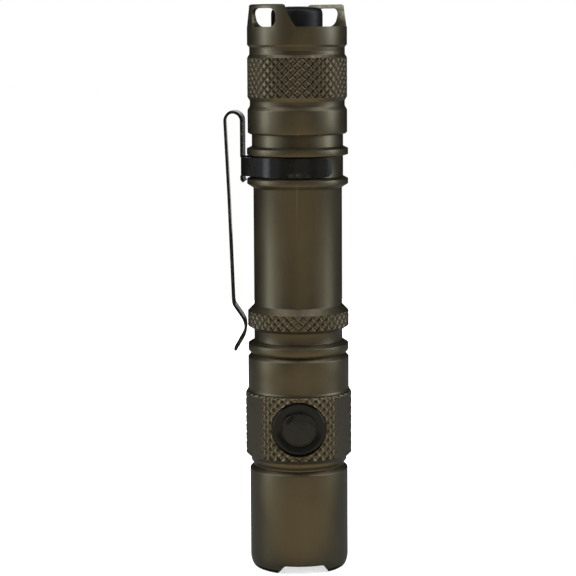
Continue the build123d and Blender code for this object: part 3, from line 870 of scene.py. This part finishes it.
def ring_half(bm, last, side, heights):
    """Faces of one half of the ring, from the strip's own vertices to a rounded end."""
    line = ring_line()
    rounded_end = {0: 0.62, 1: 0.88, 2: 0.97}
    middle = sum(CLIP_BAND) / 2
    turned_by = Matrix.Rotation(math.radians(CLIP_TURN), 3, "Z")
    for n, spot in enumerate(line):
        narrow = rounded_end.get(len(line) - 1 - n, 1.0)
        place = turned_by @ Vector((spot.x, side * spot.y, 0))
        ring = [bm.verts.new((place.x, place.y, middle + (z - middle) * narrow)) for z in heights]
        for a, b, c, d in zip(last, last[1:], ring[1:], ring):
            bm.faces.new((a, b, c, d))
        last = ring


def pocket_clip():
    """Spring strip and C ring as one bent sheet, thickened and eased along its edges."""
    thickness, near = 0.7, 0.01
    bottom, top = CLIP_BAND
    points = strip_stations([bottom + (top - bottom) * k / 4 for k in range(5)])
    bm = bmesh.new()
    rows = strip_rows(bm, points)
    # The band's levels are those on the way up, before the top bend.
    crest = max(range(len(points)), key=lambda k: points[k].y)
    band = [k for k, point in enumerate(points) if k < crest and bottom - near < point.y < top + near]
    for n, (first, second) in enumerate(zip(rows, rows[1:])):
        inner = n in band and n + 1 in band
        for k in range(2, 4) if inner else range(len(first) - 1):
            bm.faces.new((first[k], first[k + 1], second[k + 1], second[k]))
    heights = [points[k].y for k in band]
    for side, column in ((-1, 2), (1, -3)):
        ring_half(bm, [rows[k][column] for k in band], side, heights)
    piece = finish_mesh(bm, "clip_strip", FINISHES["black_steel"], 60.0)
    solid = piece.modifiers.new("thickness", "SOLIDIFY")
    solid.thickness = thickness * MM
    solid.offset = 0.0
    solid.use_even_offset = True
    apply_modifiers(piece)
    bevel(piece, 0.12, 2, 50.0)
    resharpen(piece, 40.0)
    return into_frame(piece, "clip", "black_steel", "pocket_clip")


# Floor, lights and camera

def floor():
    """Round white table top."""
    radius, drop, ease, count = 0.52, 0.01, 0.003, 96
    outline = ((0.1, 0.0), (0.3, 0.0), (radius - drop, 0.0), (radius - ease, -ease), (radius, -drop))
    bm = bmesh.new()
    rings = []
    for r, z in outline:
        rings.append([bm.verts.new(polar(math.radians(360 / count * k), r, z)) for k in range(count)])
    bm.faces.new(rings[0])
    for a, b in zip(rings, rings[1:]):
        join_rows(bm, b, a)
    for face in bm.faces:
        face.smooth = True
    mesh = bpy.data.meshes.new("floor")
    bm.to_mesh(mesh)
    bm.free()
    m = Nodes("floor_paper", Roughness=0.8, Emission_Color=(1, 1, 1, 1), Emission_Strength=0.6)
    m.feed("Base Color", m.mix(m.noise(8.0), (0.9, 0.9, 0.9), (0.93, 0.93, 0.93)))
    mesh.materials.append(m.material)
    made = bpy.data.objects.new("floor", mesh)
    made.visible_glossy = False
    bpy.context.scene.collection.objects.link(made)


def card(name, place, towards, size, radiance, colour=(1, 1, 1)):
    """Area light of an even brightness, in metres, that the camera doesn't see."""
    data = bpy.data.lights.new(name, "AREA")
    data.shape = "RECTANGLE"
    data.size, data.size_y = size
    data.energy = radiance * math.pi * size[0] * size[1]
    data.color = colour
    lamp = bpy.data.objects.new(name, data)
    lamp.location = place
    lamp.rotation_mode = "QUATERNION"
    lamp.rotation_quaternion = (Vector(towards) - Vector(place)).to_track_quat("-Z", "Y")
    lamp.visible_camera = False
    bpy.context.scene.collection.objects.link(lamp)


def upright_card(name, azimuth, distance, low_z, size, radiance, colour=(1, 1, 1)):
    """Card that stands round the object. Azimuth is measured from the front, positive towards +X."""
    height = low_z + size[1] / 2
    place = polar(math.radians(azimuth), distance, height)
    card(name, place, (0, 0, height), size, radiance, colour)


def floor_card(name, place, size, radiance, colour=(1, 1, 1)):
    """Card that lies on the floor, face up."""
    x, y = place
    card(name, (x, y, 0.001), (x, y, 1.0), size, radiance, colour)


def lights():
    """Cool side boxes, a warm front, and floor cards for what the lower half reflects."""
    cool, warm = (0.84, 0.95, 1.0), (1.0, 0.86, 0.60)
    upright_card("strip_left", -79, 0.6, 0.01, (0.18, 0.5), 6.6, cool)
    upright_card("fill_left", -54, 0.8, 0.01, (0.3, 0.5), 1.0, cool)
    upright_card("strip_right", 84, 0.6, 0.07, (0.21, 0.45), 6.4, cool)
    upright_card("fill_right", 58, 0.8, 0.05, (0.3, 0.45), 0.9, cool)
    upright_card("front", 10, 1.0, 0.0, (0.6, 0.3), 0.72, warm)
    upright_card("back", 180, 0.9, 0.0, (0.25, 0.5), 1.0)
    floor_card("near_front", (0.0, -0.20), (0.6, 0.36), 1.05, warm)
    floor_card("far_front", (0.0, -0.56), (0.6, 0.36), 0.72, warm)
    floor_card("near_back", (0.0, 0.18), (0.6, 0.40), 0.26, cool)
    floor_card("far_left", (-0.45, 0.1), (0.3, 0.8), 0.14, cool)
    floor_card("far_right", (0.45, 0.1), (0.3, 0.8), 0.22, cool)
    card("overhead_left", (-0.55, -0.25, 0.9), (0.0, 0.0, 0.0), (0.5, 0.9), 2.6)
    card("overhead_right", (0.55, -0.25, 0.9), (0.0, 0.0, 0.0), (0.5, 0.9), 2.6)
    card("overhead", (0.0, -0.25, 1.1), (0.0, 0.0, 0.0), (0.5, 0.9), 0.5)
    world = bpy.data.worlds.new("studio")
    world.use_nodes = True
    shade = world.node_tree.nodes["Background"]
    shade.inputs["Color"].default_value = (1.0, 1.0, 1.0, 1.0)
    shade.inputs["Strength"].default_value = 1.0
    world.cycles_visibility.glossy = False
    bpy.context.scene.world = world


def camera():
    """Long lens, a little above the middle of the light, with the object right of centre."""
    data = bpy.data.cameras.new("camera")
    data.sensor_width = 36.0
    data.lens = 123.06
    data.clip_start, data.clip_end = 0.01, 20.0
    made = bpy.data.objects.new("camera", data)
    bpy.context.scene.collection.objects.link(made)
    distance, height, aside = 0.5078, 0.0728, -0.00262
    lift, roll = math.radians(7.46), math.radians(-0.32)
    made.rotation_mode = "QUATERNION"
    turn = Matrix.Rotation(math.pi / 2 - lift, 4, "X") @ Matrix.Rotation(roll, 4, "Z")
    made.rotation_quaternion = turn.to_quaternion()
    made.location = (aside, -distance * math.cos(lift), height + distance * math.sin(lift))
    bpy.context.scene.camera = made


def show_settings():
    """Plain colours, so that the white stays white."""
    view = bpy.context.scene.view_settings
    view.view_transform = "Standard"
    view.look = "None"
    view.exposure = 0.0


dress_cad_nodes()
bezel()
head_body()
battery_tube()
tail_cap()
tail_boot()
side_button_cap()
side_button_ring()
pocket_clip()
floor()
lights()
camera()
show_settings()
